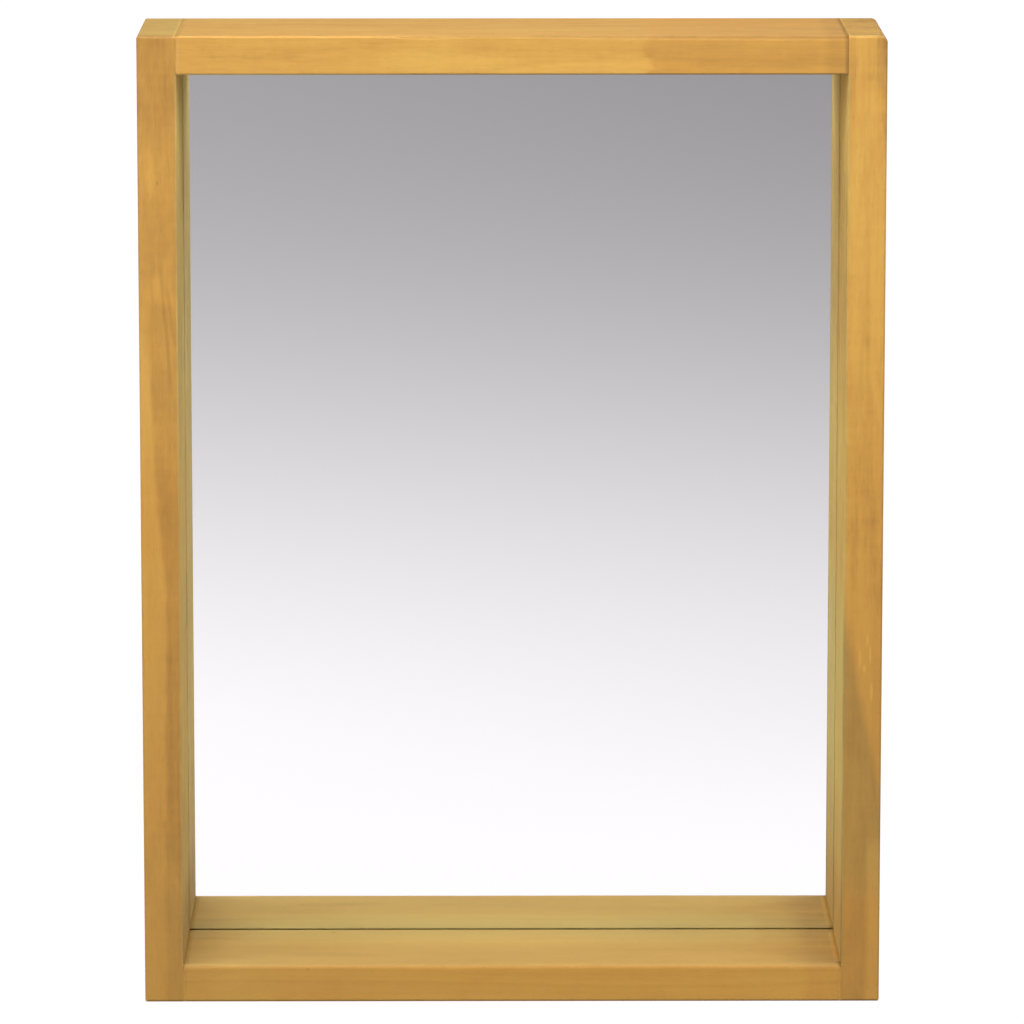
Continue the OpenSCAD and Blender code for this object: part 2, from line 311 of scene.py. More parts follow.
class StudioSettings(bpy.types.PropertyGroup):
    """The camera, the lights and the floor"""

    lens: FloatProperty(
        name="Focal Length", description="Focal length on a 36 mm sensor", unit="CAMERA", default=237.0,
        min=20, max=500,
    )
    camera_place: FloatVectorProperty(
        name="Camera Place", description="Where the camera stands", subtype="TRANSLATION", unit="LENGTH",
        default=(-0.022, -4.5292, 1.1159),
    )
    pitch: FloatProperty(
        name="Pitch", description="How far the camera looks down", subtype="ANGLE",
        default=math.radians(9.864),
    )
    yaw: FloatProperty(
        name="Yaw", description="How far the camera turns to the right", subtype="ANGLE",
        default=math.radians(0.281),
    )
    side_power: FloatProperty(
        name="Side Power", description="Power of each of the two softboxes at the sides", unit="POWER",
        default=22.5, min=0,
    )
    front_power: FloatProperty(
        name="Front Power", description="Power of the softbox above and in front", unit="POWER", default=17.6,
        min=0,
    )
    back_power: FloatProperty(
        name="Back Power", description="Power of the softbox above and behind", unit="POWER", default=11.0,
        min=0,
    )
    rear_power: FloatProperty(
        name="Rear Power", description="Power of the low softbox that lights the wall side", unit="POWER",
        default=8.0, min=0,
    )
    ambient: FloatProperty(
        name="Ambient", description="Brightness of the studio's walls and ceiling", default=0.16, min=0,
        max=2,
    )
    backdrop: FloatProperty(
        name="Backdrop", description="Brightness of the walls where the camera sees them", default=0.9, min=0,
        max=2,
    )
    glow: FloatProperty(
        name="Floor Brightness", description="Brightness of the floor round the object", default=1.1, min=0,
        max=2,
    )
    dim: FloatProperty(
        name="Far Floor", description="Brightness of the floor far in front of the object", default=0.331,
        min=0, max=2,
    )
    lean: FloatProperty(
        name="Lean", description="Share by which the floor in front darkens for each metre to the right",
        default=0.17, min=0, max=0.5,
    )


# How far each layer of teak's grain moves the tone, which runs from 0 for pale to 1 for dark
GAINS = {
    "rings": 0.3, "fibre": 0.35, "streak": 0.35, "fleck": 0.4, "ripple": 0.25, "mottle": 0.65, "cloud": 0.7,
}
MEANS = {**dict.fromkeys(GAINS, 0.5), "rings": 0.1}  # means of the layers, taken off to keep the board's tone
RING_BEND = 26.0  # millimetres by which the warp bends the rings
REDDER = (1.04, 0.97, 0.88)  # what wood with a warmth of 1 multiplies its colour by
SKIN_STARTS, SKIN_FULL = 1.1, 0.3  # millimetres into the wood between which the tint of the walls sets in
# Painted shade and painted highlight in the colour of an arris
PAINTED_ARRIS_SHADE = -0.3  # share by which an arris without polish changes its brightness
PAINTED_ARRIS_HIGHLIGHT = 0.5  # share that full polish adds to it
ARRIS_FROM, ARRIS_FULL = 0.995, 0.85  # largest share of a normal on an axis, at an arris's border and on it
END_FROM, END_FULL = 0.6, 0.9  # share of a normal along the grain, at a sawn end's border and on it
PORES_ACROSS = 0.7  # pores for each millimetre across the grain
PORE_RIM, PORE_CORE = 0.28, 0.1  # distances from a cell's middle between which a pore darkens
PORE_SHARE = 0.09  # how far a pore turns the wood's colour to its own
MOTTLED_ROUGH, POLISHED_ROUGH, SKIN_ROUGH = 0.12, -0.25, 0.3  # what each of the three adds to the roughness
LATE_WOOD = [(0, BLACK), (0.5, BLACK), (0.86, WHITE), (1, BLACK)]  # from a ring's inner edge to its outer


def grain_layers(node, grain):
    """The layers of the grain, each from 0 to 1, and under "warp" a colour that bends the rings.

    Rings count the distance from the heart, bent by the warp, in ring widths. The dark late wood comes at a
    ring's outer edge and has a strength of its own."""
    look = bpy.context.scene.wall_mirror_teak
    layers = {}
    # Width and length of each layer's blotches in millimetres, and the detail and the roughness of its noise
    for layer, wide, long, detail, rough in (
        ("warp", 70.0, 420.0, 2.0, 0.5),
        ("fibre", look.fibre_mm, 110.0, 3.0, 0.6),
        ("streak", 4.2, 260.0, 2.0, 0.5),
        ("fleck", 1.8, 13.0, 2.0, 0.5),
        ("ripple", 22.0, 6.0, 2.0, 0.5),
        ("mottle", 12.0, 38.0, 3.0, 0.55),
        ("cloud", 42.0, 150.0, 2.0, 0.5),
    ):
        blotches = counted(node, grain, (wide, wide, long))
        layers[layer] = node(
            "TexNoise", {"Vector": blotches, "Scale": 1.0, "Detail": detail, "Roughness": rough},
            out="Color" if layer == "warp" else "Fac",
        )

    bend = {0: layers["warp"], 1: (RING_BEND, RING_BEND, 0.0), 2: grain}
    bent = node("VectorMath", bend, operation="MULTIPLY_ADD")
    flat = node("VectorMath", {0: bent, 1: (1.0, 1.0, 0.0)}, operation="MULTIPLY")
    radius = node("VectorMath", {0: flat}, out="Value", operation="LENGTH")
    count = node("Math", {0: radius, 1: look.ring_mm}, operation="DIVIDE")
    ring = node("Math", {0: count}, operation="FLOOR")
    strength = node("TexWhiteNoise", {"W": ring}, noise_dimensions="1D")
    across_ring = node("Math", {0: count}, operation="FRACT")
    late_wood = node("ValToRGB", {"Fac": across_ring}, ramp=LATE_WOOD)
    layers["rings"] = node("Math", {0: late_wood, 1: strength}, operation="MULTIPLY")
    return layers


def patched(node, place, mottle, tone, patches):
    """The tone with patches: each is a shift and then the stretches over which it sets in, which multiply.

    A stretch is (direction, from, to, waver), as share_along takes them."""
    for shift, *stretches in patches:
        for *way, waver in stretches:
            share = share_along(node, place, *way, waver, mottle)
            shift = node("Math", {0: share, 1: shift}, operation="MULTIPLY")
        tone = node("Math", {0: shift, 1: tone}, operation="ADD")
    return tone


def spotted(node, place, turn, tone, spots):
    """The tone with oval spots along the grain: (shift, place, half the width, half the length) each."""
    for shift, middle, wide, long in spots:
        sizes = (wide, wide, long) if turn == GRAIN_UP else (long, wide, wide)
        offset = node("VectorMath", {0: place, 1: middle}, operation="SUBTRACT")
        offset = counted(node, offset, sizes)
        reach = node("VectorMath", {0: offset}, out="Value", operation="LENGTH")
        share = node("MapRange", {"Value": reach, 1: 1.0, 2: 0.2}, **SMOOTH)
        tone = node("Math", {0: share, 1: shift, 2: tone}, operation="MULTIPLY_ADD")
    return tone


def arris_and_end(node, turn):
    """How much a point lies on an arris and how much on a sawn end, each from 0 to 1.

    A normal along an axis is a face's, one in between an arris's, and one along the grain an end's."""
    normal = node("VectorMath", {0: node("NewGeometry", out="Normal")}, operation="ABSOLUTE")
    facing = dict(zip("XYZ", node("SeparateXYZ", {0: normal}).node.outputs))
    squareness = node("Math", {0: facing["X"], 1: facing["Y"]}, operation="MAXIMUM")
    squareness = node("Math", {0: squareness, 1: facing["Z"]}, operation="MAXIMUM")
    arris = node("MapRange", {"Value": squareness, 1: ARRIS_FROM, 2: ARRIS_FULL}, **SMOOTH)
    along_grain = facing["Z" if turn == GRAIN_UP else "X"]
    end = node("MapRange", {"Value": along_grain, 1: END_FROM, 2: END_FULL}, **SMOOTH)
    return arris, end


def opening_skin(node, place):
    """How much a point lies in the skin of the opening's walls, from 0 to 1.

    Its depth in the wood is the larger of |x| less half the opening's width and |z less the opening's middle|
    less half its height."""
    axes = dict(zip("XYZ", node("SeparateXYZ", {0: place}).node.outputs))
    aside = node("Math", {0: axes["X"]}, operation="ABSOLUTE")
    aside = node("Math", {0: aside, 1: OPENING_HALF}, operation="SUBTRACT")
    above = node("Math", {0: axes["Z"], 1: OPENING_MIDDLE}, operation="SUBTRACT")
    above = node("Math", {0: above}, operation="ABSOLUTE")
    above = node("Math", {0: above, 1: OPENING_REACH}, operation="SUBTRACT")
    depth = node("Math", {0: aside, 1: above}, operation="MAXIMUM")
    return node("MapRange", {"Value": depth, 1: SKIN_STARTS, 2: SKIN_FULL}, **SMOOTH)


# Oiled teak, planed and sanded boards: the oil deepens the gold and leaves a satin sheen, under which growth
# rings, fibre streaks and short open pores run along the board. The walls of the opening are yellower, a tint
# of painted light and sheen, sawn ends are greener, and the arrises carry painted highlight and painted shade
def oiled_teak(
    name, turn, heart, tone, figure=(1.0,), warmth=(0.0,), patches=(), spots=(), polish_and_highlight=(0.5,), inside=None,
):
    """Teak whose grain follows the board. The pattern is solid, so it runs round every arris.

    turn lays the board's length along the pattern's Z, heart moves the tree's heart onto that axis, in
    millimetres, tone is the board's own, from 0 for pale to 1 for dark, figure is how strongly the grain
    shows, warmth turns the colour towards red, and polish is how strongly the arrises take a painted
    highlight and lose roughness, from 0 to 1; every arris also takes a painted shade. Figure, warmth and
    polish are each a value and then its shifts, as shifting takes them. patches and spots are the board's
    marks, some patches painted light and shade, as patched and spotted take them, and inside is the tint of
    the opening's walls, a painted light and sheen."""
    look = bpy.context.scene.wall_mirror_teak
    material, node = new_material(name)
    place = in_millimetres(node)
    grain = node("Mapping", {"Vector": place, "Rotation": turn, "Location": heart})
    layers = grain_layers(node, grain)

    grained = -sum(MEANS[layer] * gain for layer, gain in GAINS.items())
    for layer, gain in GAINS.items():
        grained = node("Math", {0: layers[layer], 1: gain, 2: grained}, operation="MULTIPLY_ADD")
    tone = node("Math", {0: grained, 1: shifting(node, place, *figure), 2: tone}, operation="MULTIPLY_ADD")
    tone = patched(node, place, layers["mottle"], tone, patches)
    tone = spotted(node, place, turn, tone, spots)
    colours = [(0, look.pale), (0.4, look.golden), (0.7, look.brown), (1, look.dark)]
    wood = node("ValToRGB", {"Fac": tone}, ramp=colours)

    # The hue drifts slowly from yellower to redder wood; the walls take a tint of painted light and sheen, and
    # sawn ends a tint of their own
    arris, end = arris_and_end(node, turn)
    skin = opening_skin(node, place)
    drift = node("SeparateXYZ", {0: layers["warp"]}, out="Z")
    drift = node("Math", {0: drift, 1: 2.0, 2: -1.0}, operation="MULTIPLY_ADD")
    drift = node("Math", {0: drift, 1: shifting(node, place, *warmth)}, operation="ADD")
    for share, tint in ((drift, REDDER), (skin, inside or look.walls), (end, look.end)):
        change = [level - 1.0 for level in tint]
        factor = node("VectorMath", {0: share, 1: change, 2: (1.0, 1.0, 1.0)}, operation="MULTIPLY_ADD")
        wood = node("VectorMath", {0: wood, 1: factor}, operation="MULTIPLY")

    # Painted shade darkens every arris, and a painted highlight brightens it again as far as polish reaches
    highlight_and_polish = node("Math", {0: shifting(node, place, *polish_and_highlight), 1: arris}, operation="MULTIPLY")
    level = node("Math", {0: arris, 1: PAINTED_ARRIS_SHADE, 2: 1.0}, operation="MULTIPLY_ADD")
    level = node("Math", {0: highlight_and_polish, 1: PAINTED_ARRIS_HIGHLIGHT, 2: level}, operation="MULTIPLY_ADD")
    wood = node("VectorMath", {0: wood, "Scale": level}, operation="SCALE")

    # Pores are thin cells, long along the grain and dark only near their middles
    cell_size = (PORES_ACROSS, PORES_ACROSS, 1 / look.pore_mm)
    cells = node("VectorMath", {0: grain, 1: cell_size}, operation="MULTIPLY")
    cell = node("TexVoronoi", {"Vector": cells, "Scale": 1.0}, out="Distance", feature="F1")
    pore = node("MapRange", {"Value": cell, 1: PORE_RIM, 2: PORE_CORE}, **SMOOTH)
    mark = node("Math", {0: pore, 1: PORE_SHARE}, operation="MULTIPLY")
    wood = node("Mix", {0: mark, 6: wood, 7: look.pore}, out=2, data_type="RGBA")
    relief = node("Math", {0: layers["fibre"], 1: pore}, operation="SUBTRACT")
    bump = node("Bump", {"Height": relief, "Strength": 0.25, "Distance": GRAIN_DEPTH})

    # The mottle moves the roughness a little to both sides, polish takes some off, and dry walls are rougher
    rough = look.roughness - MOTTLED_ROUGH / 2
    for share, change in (
        (layers["mottle"], MOTTLED_ROUGH), (highlight_and_polish, POLISHED_ROUGH), (skin, SKIN_ROUGH),
    ):
        rough = node("Math", {0: share, 1: change, 2: rough}, operation="MULTIPLY_ADD")
    surface = node(
        "BsdfPrincipled",
        {"Base Color": wood, "Roughness": rough, "Normal": bump, "IOR": 1.47, "Specular IOR Level": 0.25},
    )
    node("OutputMaterial", {"Surface": surface})
    return material


# Stretches that hold a patch of a side board to one face or to its edge at a joint
ON_FRONT = (DEEP, FRONT + 15, FRONT + 3, 0)
ON_TOP = (UP, TOP - 5, TOP - 1, 0)
BELOW_SHELF_TOP = (UP, OPENING_LOW + 2, OPENING_LOW - 2, 0)
BEHIND_FRONT = (DEEP, FRONT, FRONT + 1.5, 0)
ON_LEFT_WALL = ((RIGHT, -OPENING_HALF - 2.5, -OPENING_HALF - 1, 0), BEHIND_FRONT)
ON_RIGHT_WALL = ((RIGHT, OPENING_HALF + 2.5, OPENING_HALF + 1, 0), BEHIND_FRONT)
LEFT_EDGE = (RIGHT, -OPENING_HALF - 1.2, -OPENING_HALF - 0.5, 0)
RIGHT_EDGE = (RIGHT, OPENING_HALF + 1.2, OPENING_HALF + 0.5, 0)

# The left board: two dark streaks lean through the upper third. Below them the outer half is golden and the
# inner half browner, with a border that leans and then runs straight down
GOLDEN_LEAN, LONG_STREAK_LEAN, SHORT_STREAK_LEAN = (1.0, 0.0, 0.06), (1.0, 0.0, 0.083), (1.0, 0.0, 0.147)
LEFT_PATCHES = (
    # The browner upper end and the browner inner half
    (0.27, (UP, 560, 640, 8), ON_FRONT),
    (0.12, (UP, 420, 340, 10), (RIGHT, -238, -232, 1.5), ON_FRONT),
    # The golden outer half: its leaning border, then its straight one, and more gold above the foot
    (-0.34, (GOLDEN_LEAN, -215.5, -219.5, 1.5), (UP, 480, 430, 8), (UP, 260, 300, 0), ON_FRONT),
    (-0.22, (RIGHT, -232.5, -236, 1.5), (UP, 300, 260, 0), ON_FRONT),
    (-0.1, (RIGHT, -232.5, -236, 1.5), (UP, 300, 260, 0), (UP, 120, 200, 0), ON_FRONT),
    # The long streak and the short one
    (0.2, (LONG_STREAK_LEAN, -195.3, -193.9, 0.3), (LONG_STREAK_LEAN, -191.6, -193.3, 0.3),
     (UP, 520, 500, 5), (UP, 405, 440, 5), ON_FRONT),
    (0.15, (SHORT_STREAK_LEAN, -161.0, -159.6, 0.3), (SHORT_STREAK_LEAN, -157.0, -158.8, 0.3),
     (UP, 500, 485, 5), (UP, 440, 460, 5), ON_FRONT),
    # The lower half is a little browner, and its inner side lighter again at the foot
    (0.08, (UP, 380, 330, 5), ON_FRONT),
    (-0.15, (UP, 130, 80, 5), (RIGHT, -236, -232, 1.5), ON_FRONT),
    # Lighter stripes: outside the streaks, between them and the opening, and along the opening further down
    (-0.13, (RIGHT, -241, -244, 1), (UP, 395, 410, 5), (UP, 500, 485, 5), ON_FRONT),
    (-0.14, (RIGHT, -239, -235, 1.5), (RIGHT, -226.5, -229, 1), (UP, 474, 484, 4), (UP, 520, 508, 4),
     ON_FRONT),
    (-0.09, (RIGHT, -232, -228.5, 1), (UP, 360, 330, 5), (UP, 105, 125, 5), ON_FRONT),
    # The top end, and painted light on the edges at the joints, which lifts the shade in their grooves
    (-0.16, ON_TOP, (DEEP, -58, -55, 0)),
    (-0.3, LEFT_EDGE, ON_TOP),
    (-0.1, LEFT_EDGE, BELOW_SHELF_TOP, ON_FRONT),
    # Painted light and shade on the wall of the opening: lightest near its top, where it lifts the top board's
    # shadow, and darker towards the shelf, where the corner is shaded
    (0.1, (UP, 330, 480, 5), *ON_LEFT_WALL),
    (-0.3, (UP, 540, 600, 5), *ON_LEFT_WALL),
    (0.15, (UP, 190, 80, 5), *ON_LEFT_WALL),
    (0.28, (UP, 90, 40, 4), *ON_LEFT_WALL),
)
# A pin knot on the front and one on the wall, and two light flecks on the front
LEFT_SPOTS = (
    (0.3, (-236.8, FRONT, 561.6), 1.2, 2.5), (0.45, (-224.0, 37.0, 243.0), 2.6, 5.0),
    (-0.22, (-241.0, FRONT, 567.0), 3.8, 18.0), (-0.22, (-238.0, FRONT, 492.0), 4.0, 14.0),
)

# The right board: a leaning border separates golden wood from a browner foot, whose outer strip is lighter
FOOT_LEAN = (0.98, 0.0, 0.2)
RIGHT_PATCHES = (
    # The browner upper end and the browner lower half
    (0.25, (UP, 590, 650, 8), ON_FRONT),
    (0.2, (UP, 400, 330, 10), ON_FRONT),
    # The foot, the wood beside its border, and its lighter outer strip
    (0.36, (FOOT_LEAN, 278.0, 269.0, 2.5), ON_FRONT),
    (-0.1, (RIGHT, 237, 229, 1.5), (UP, 190, 165, 5), ON_FRONT),
    (-0.3, (RIGHT, 238, 244, 1.5), (UP, 132, 100, 6), ON_FRONT),
    (-0.05, (UP, 132, 100, 6), ON_FRONT),
    # Painted shade along the outer edges above the foot and near the top, where the rounding turns from the
    # light, and a lighter inner half between them
    (0.12, (RIGHT, 239, 249, 0), (UP, 130, 160, 5), ON_FRONT),
    (0.1, (RIGHT, 241, 249, 0), (UP, 420, 470, 5), ON_FRONT),
    (-0.06, (RIGHT, 242, 236, 1), (UP, 260, 300, 5), (UP, 500, 470, 5), ON_FRONT),
    # The top end, and painted light on the edges at the joints, which lifts the shade in their grooves
    (0.35, ON_TOP, (DEEP, -57, -55, 0)),
    (-0.3, RIGHT_EDGE, ON_TOP),
    (-0.1, RIGHT_EDGE, BELOW_SHELF_TOP, ON_FRONT),
    # Painted light and shade on the wall of the opening: lightest near its top, where it lifts the top board's
    # shadow, and in the middle, and darker towards the shelf, where the corner is shaded
    (0.38, (UP, 330, 480, 5), *ON_RIGHT_WALL),
    (-0.4, (UP, 540, 600, 5), *ON_RIGHT_WALL),
    (0.1, (UP, 380, 340, 5), (UP, 260, 300, 5), *ON_RIGHT_WALL),
    (0.28, (UP, 150, 105, 5), *ON_RIGHT_WALL),
    (0.32, (UP, 105, 50, 4), *ON_RIGHT_WALL),
)
# Pale flecks above the foot
RIGHT_SPOTS = (
    (-0.7, (240.0, FRONT, 251.0), 1.3, 5.0), (-0.6, (235.0, FRONT, 238.0), 1.0, 9.0),
    (-0.8, (238.0, FRONT, 231.0), 1.4, 3.5), (-0.6, (242.0, FRONT, 241.0), 1.0, 8.0),
    (-0.5, (243.0, FRONT, 215.0), 1.2, 9.0),
)


class WALLMIRROR_OT_side_boards(bpy.types.Operator):
    """Finish the two side boards in oiled teak"""

    bl_idname = "wall_mirror.side_boards"
    bl_label = "Finish Side Boards"

    def execute(self, context):
        dress("side_board_left", oiled_teak(
            "oiled_teak_left", GRAIN_UP, heart=(237.0, -100.0, 0.0), tone=0.5,
            figure=(0.65, (-0.2, UP, 130, 60)),
            warmth=(-0.2, (0.9, UP, 430, 330), (-0.6, UP, 130, 80), (-0.6, DEEP, -56, -50)),
            patches=LEFT_PATCHES, spots=LEFT_SPOTS,
        ))
        dress("side_board_right", oiled_teak(
            "oiled_teak_right", GRAIN_UP, heart=(-229.0, -110.0, 400.0), tone=0.14,
            figure=(1.15, (-0.75, UP, 330, 230)),
            warmth=(0.1, (-1.4, FOOT_LEAN, 278, 268), (1.5, UP, 100, 60), (0.6, DEEP, -56, -50)),
            # Only a faint painted highlight on this board's arrises, stronger at the top end, where it lifts
            # the shade in the groove of the joint
            patches=RIGHT_PATCHES, spots=RIGHT_SPOTS, polish_and_highlight=(0.25, (0.35, UP, 656, 659)),
        ))
        return {"FINISHED"}


# The shapes of the top board and of the shelf, in millimetres
STATION_MM = 4.0  # distance between two outlines along a board
ARC_STEPS = 9  # points on each rounded corner
FLAT_MM = 0.4  # how far beside a rounded corner its flats are held flat
WALL_ARRIS = 1.5  # radius of the arrises on the wall side
LOW_ARRIS = 2.0  # radius of the shelf's lower front arris
EASED = 0.3  # radius of the edges that are only eased
ROUNDER_FROM, ROUNDER_OVER = -20, 190  # where the top arris starts to get rounder, and over what length
WORN_AT, WORN_REACH, WORN_BY = -58, 30, 1.3  # the worn spot: its middle, its reach and what it adds
SHELF_WAVES_SHIFT = 90  # how far the waver of the shelf's arris is shifted against the top board's
# The waver's waves along an arris: height, length over two pi, and phase. They are as long as the strokes of
# a hand, of a finger and of a fingertip
HAND_WAVES = ((0.5, 37, 0.0), (0.3, 9.3, 2.0), (0.2, 4.1, 1.0))


def sanded_board(name, corners, arris, material):
    """A board from side to side whose rounded outline in Y and Z is carried along X.

    corners lists (y, z, radius) in millimetres, anticlockwise as seen from +X, and arris(x) gives the radius
    of the first of them, the front arris. The outline reaches a corner along u and leaves it along v, and
    its rounding is corner + r (v - u) + r (u sin a - v cos a), for a from 0 to 90 degrees. A point on each
    flat, just beside the rounding, keeps the flat's shading flat."""
    x = np.linspace(-OPENING_HALF, OPENING_HALF, int(2 * OPENING_HALF / STATION_MM) + 1)
    spots = np.array([corner[:2] for corner in corners])
    radii = np.tile([corner[2] for corner in corners], (len(x), 1))
    radii[:, 0] = arris(x)
    u = spots - np.roll(spots, 1, axis=0)
    u /= np.linalg.norm(u, axis=1, keepdims=True)
    v = np.roll(u, -1, axis=0)
    a = np.linspace(0, math.pi / 2, ARC_STEPS)[:, None]
    arc = (v - u)[:, None] + u[:, None] * np.sin(a) - v[:, None] * np.cos(a)
    r = radii[:, :, None, None]
    rounding = spots[:, None] + r * arc
    before = spots[:, None] - (r + FLAT_MM) * u[:, None]
    after = spots[:, None] + (r + FLAT_MM) * v[:, None]
    outline = np.concatenate([before, rounding, after], axis=2).reshape(len(x), -1, 2)

    count = outline.shape[1]
    points = np.concatenate([np.repeat(x[:, None, None], count, axis=1), outline], axis=2).reshape(-1, 3) / MM
    index = np.arange(len(points)).reshape(len(x), count)
    along = np.roll(index, -1, axis=1)
    quads = np.stack([index[:-1], along[:-1], along[1:], index[1:]], axis=-1).reshape(-1, 4).tolist()
    mesh = bpy.data.meshes.new(name)
    mesh.from_pydata(points.tolist(), [], quads + [index[0, ::-1].tolist(), index[-1].tolist()])
    mesh.polygons.foreach_set("use_smooth", np.arange(len(mesh.polygons)) < len(quads))
    mesh.materials.append(material)
    board = bpy.data.objects.new(name, mesh)
    bpy.context.collection.objects.link(board)
    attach(board, BODY)
    return board


def hand_waver(x):
    """Between -1 and 1: the sum of height sin(x / length + phase) over the waves of the hand."""
    return sum(height * np.sin(x / length + phase) for height, length, phase in HAND_WAVES)


# Stretches that hold a patch to the front of the top board, to its top, and to the top of the shelf
RAIL_FRONT, RAIL_TOP = (DEEP, FRONT + 3.5, FRONT + 2, 0), (DEEP, FRONT + 2, FRONT + 3.5, 0)
ON_SHELF = (UP, OPENING_LOW - 4, OPENING_LOW, 0)

# The right end of the top board is a browner stave, whose border is sharp on the front and soft on top. Left
# of it the lower half of the front glows and the upper half is a little browner
LEFT_OF_STAVE = (RIGHT, 92, 86, 8)
TOP_PATCHES = (
    (0.17, (RIGHT, 86, 92, 8), RAIL_FRONT),
    (0.12, (RIGHT, 60, 180, 8), RAIL_TOP),
    (-0.17, (UP, 651, 644, 2.5), (RIGHT, -110, -60, 8), LEFT_OF_STAVE),
    (0.06, (UP, 646, 651, 2), (RIGHT, -97, -92, 4), LEFT_OF_STAVE, RAIL_FRONT),
    # The browner right end, and painted light at both joints on top, which lifts the shade in their grooves
    (0.15, (RIGHT, 206, 214, 2)),
    (-0.4, (RIGHT, 222.6, 223.6, 0), (DEEP, -57, -54, 0)),
    (-0.4, (RIGHT, -222.6, -223.6, 0), (DEEP, -57, -54, 0)),
)

# The top of the shelf is more golden in the middle at the back and browner at both ends, partly browner wood
# and partly painted shade of the corners by the walls
SHELF_PATCHES = (
    (0.2, (RIGHT, -190, -222, 2)),
    (0.3, (RIGHT, 170, 215, 4), (DEEP, 15, -15, 4), ON_SHELF),
    (0.2, (RIGHT, 195, 205, 4), (UP, OPENING_LOW, OPENING_LOW - 4, 0)),
    # Painted light at both joints on the front, which lifts the shade in their grooves
    (-0.4, (RIGHT, -222.6, -223.6, 0), (UP, 24, 20, 0)),
    (-0.4, (RIGHT, 222.6, 223.6, 0), (UP, 24, 20, 0)),
    # The whole top, its paler back, and the browner right end of the back
    (0.2, ON_SHELF),
    (-0.36, (DEEP, -20, 15, 2), (RIGHT, -214, -150, 4)),
    (0.2, (RIGHT, 162, 178, 4), (DEEP, -8, 8, 3), ON_SHELF),
    (0.3, (RIGHT, 188, 208, 4), (DEEP, -8, 8, 3), ON_SHELF),
    # Painted highlight: pale lines where the top meets the walls, which also lift the shade of those corners
    (-0.5, (RIGHT, 219, 222, 0.5), (DEEP, 42, 30, 2), (DEEP, -56, -48, 0), (UP, 24, 26, 0)),
    (-0.3, (RIGHT, -220.5, -222.5, 0), (DEEP, 42, 36, 0), (UP, 24, 26, 0)),
)
# A pin knot on the front and a fleck at the back
SHELF_SPOTS = ((0.5, (-139.0, FRONT, 23.0), 1.0, 2.0), (0.4, (-123.7, 36.0, 26.0), 3.0, 3.0))


class WALLMIRROR_OT_rails(bpy.types.Operator):
    """Make the top board and the shelf with their hand-sanded front arrises"""

    bl_idname = "wall_mirror.rails"
    bl_label = "Make Top Board and Shelf"

    def execute(self, context):
        hand = context.scene.wall_mirror_arrises

        def top_arris(x):
            """Crisp at the left, with a worn spot, and rounder from the middle to the right end."""
            rounder = (hand.top_right - hand.top_left) * np.clip((x - ROUNDER_FROM) / ROUNDER_OVER, 0, 1)
            worn = WORN_BY * np.exp(-(((x - WORN_AT) / WORN_REACH) ** 2))
            return hand.top_left + rounder + worn + hand.waver * hand_waver(x)

        def shelf_arris(x):
            return hand.shelf + hand.waver * hand_waver(x + SHELF_WAVES_SHIFT)

        top = sanded_board(
            "top_board_sanded",
            [(FRONT, TOP, hand.top_left), (FRONT, OPENING_HIGH, WALL_ARRIS),
             (REBATE_SHOULDER, OPENING_HIGH, EASED), (REBATE_SHOULDER, REBATE_HIGH, EASED),
             (WALL, REBATE_HIGH, EASED), (WALL, TOP, WALL_ARRIS)],
            top_arris,
            oiled_teak(
                "oiled_teak_top", GRAIN_ACROSS, heart=(647.0, 146.0, 90.0), tone=0.3,
                figure=(0.8, (-0.35, RIGHT, 80, 95)), warmth=(-0.2, (0.4, RIGHT, 80, 95)),
                # The painted highlight on the front arris is bright at the left and faint from the worn spot
                # to the right end
                patches=TOP_PATCHES, polish_and_highlight=(0.8, (-0.65, RIGHT, -95, -60), (-0.1, RIGHT, 60, 100)),
            ),
        )
        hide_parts("top_board")
        shelf = sanded_board(
            "shelf_board_sanded",
            [(FRONT, OPENING_LOW, hand.shelf), (FRONT, 0.0, LOW_ARRIS), (WALL, 0.0, WALL_ARRIS),
             (WALL, REBATE_LOW, EASED), (REBATE_SHOULDER, REBATE_LOW, EASED),
             (REBATE_SHOULDER, OPENING_LOW, EASED)],
            shelf_arris,
            oiled_teak(
                "oiled_teak_shelf", GRAIN_ACROSS, heart=(-80.0, 10.0, 500.0), tone=0.2,
                figure=(0.5, (-0.15, UP, 22, 26)),
                warmth=(0.8, (-0.6, UP, 22, 26), (-0.9, DEEP, -15, 30), (-0.7, RIGHT, -110, -210)),
                patches=SHELF_PATCHES, spots=SHELF_SPOTS, inside=context.scene.wall_mirror_teak.shelf,
            ),
        )
        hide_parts("shelf_board")
        return {"FINISHED"}


class WALLMIRROR_OT_beads(bpy.types.Operator):
    """Finish the four beads that hold the back panel in oiled teak"""

    bl_idname = "wall_mirror.beads"
    bl_label = "Finish Beads"

    def execute(self, context):
        beads = {
            "bead_top": (GRAIN_ACROSS, (-590.0, -80.0, 220.0)),
            "bead_bottom": (GRAIN_ACROSS, (40.0, -90.0, 610.0)),
            "bead_left": (GRAIN_UP, (290.0, -80.0, 50.0)),
            "bead_right": (GRAIN_UP, (-160.0, -90.0, 90.0)),
        }
        for bead, (turn, heart) in beads.items():
            dress(bead, oiled_teak("oiled_teak_" + bead, turn, heart, 0.55, inside=(1.0, 1.0, 1.0)))
        return {"FINISHED"}


PAINT_ROUGH = 0.55


# Float glass, polished: almost clear, with a trace of green, and a mirror's front reflection
def float_glass():
    look = bpy.context.scene.wall_mirror_glass
    material, node = new_material("float_glass")
    surface = node(
        "BsdfPrincipled",
        {"Base Color": look.tint, "Roughness": 0.0, "IOR": look.ior, "Transmission Weight": 1.0},
    )
    node("OutputMaterial", {"Surface": surface})
    return material


